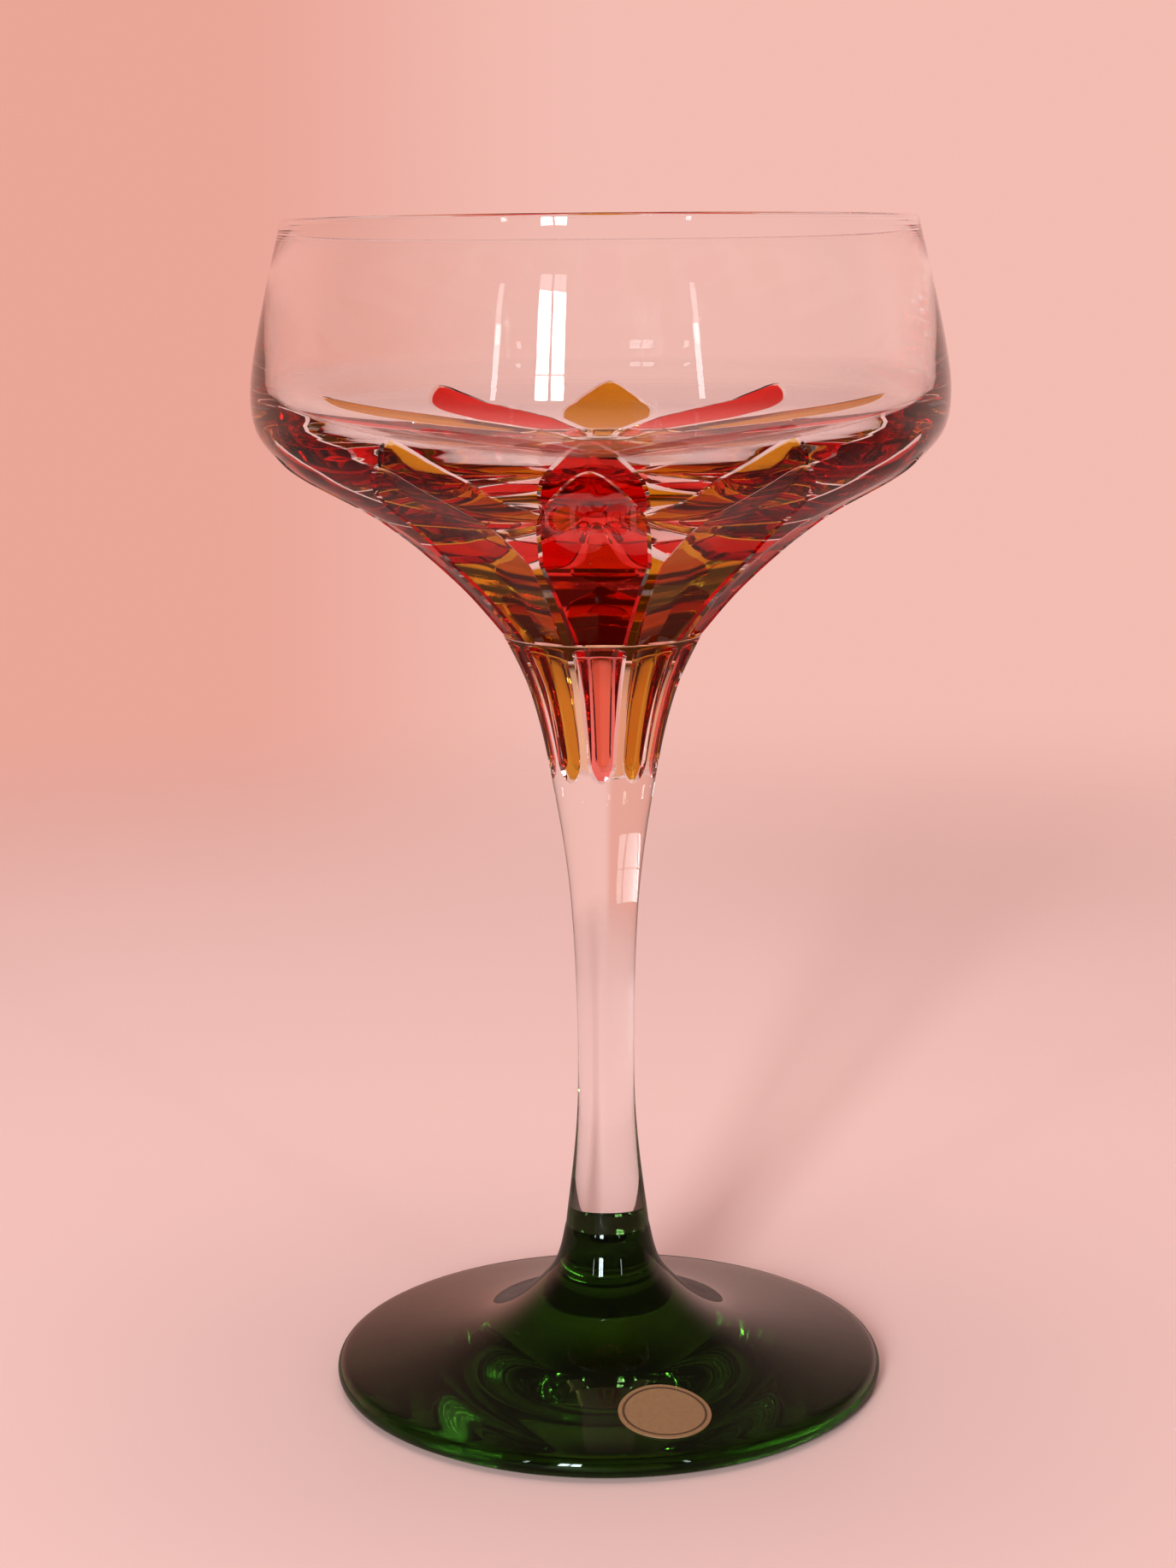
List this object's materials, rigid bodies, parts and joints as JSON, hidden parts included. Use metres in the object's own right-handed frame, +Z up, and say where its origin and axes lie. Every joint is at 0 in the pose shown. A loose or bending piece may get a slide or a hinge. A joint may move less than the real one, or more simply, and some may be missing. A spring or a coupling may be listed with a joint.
{
  "type": "champagne coupe",
  "caption": "Cut crystal champagne coupe: wide shallow clear bowl, ruby and amber stained leaf cuts below it, fluted neck, slim solid stem and green round foot.",
  "frame": {"origin": "centre of the foot's underside, on the surface that the glass stands on", "axes": "+Z up along the axis of the glass; -Y is the front, where a ruby column faces; the label lies front right"},
  "size_m": [0.0944, 0.0944, 0.16],
  "materials": {
    "clear_crystal": "polished clear crystal",
    "green_glass": "polished bottle green stain on crystal",
    "ruby_stain": "polished ruby stain on cut crystal",
    "amber_stain": "polished amber stain on cut crystal",
    "label_paper": "matt copper brown paper, plain"
  },
  "bodies": {
    "root": {"bowl": "clear_crystal", "stem": "clear_crystal", "foot": "green_glass", "label": "label_paper", "petal_ruby_1": "ruby_stain", "petal_ruby_2": "ruby_stain", "petal_ruby_3": "ruby_stain", "petal_ruby_4": "ruby_stain", "petal_ruby_5": "ruby_stain", "petal_amber_1": "amber_stain", "petal_amber_2": "amber_stain", "petal_amber_3": "amber_stain", "petal_amber_4": "amber_stain", "petal_amber_5": "amber_stain", "flute_ruby_1": "ruby_stain", "flute_ruby_2": "ruby_stain", "flute_ruby_3": "ruby_stain", "flute_ruby_4": "ruby_stain", "flute_ruby_5": "ruby_stain", "flute_amber_1": "amber_stain", "flute_amber_2": "amber_stain", "flute_amber_3": "amber_stain", "flute_amber_4": "amber_stain", "flute_amber_5": "amber_stain"}
  },
  "joints": []
}
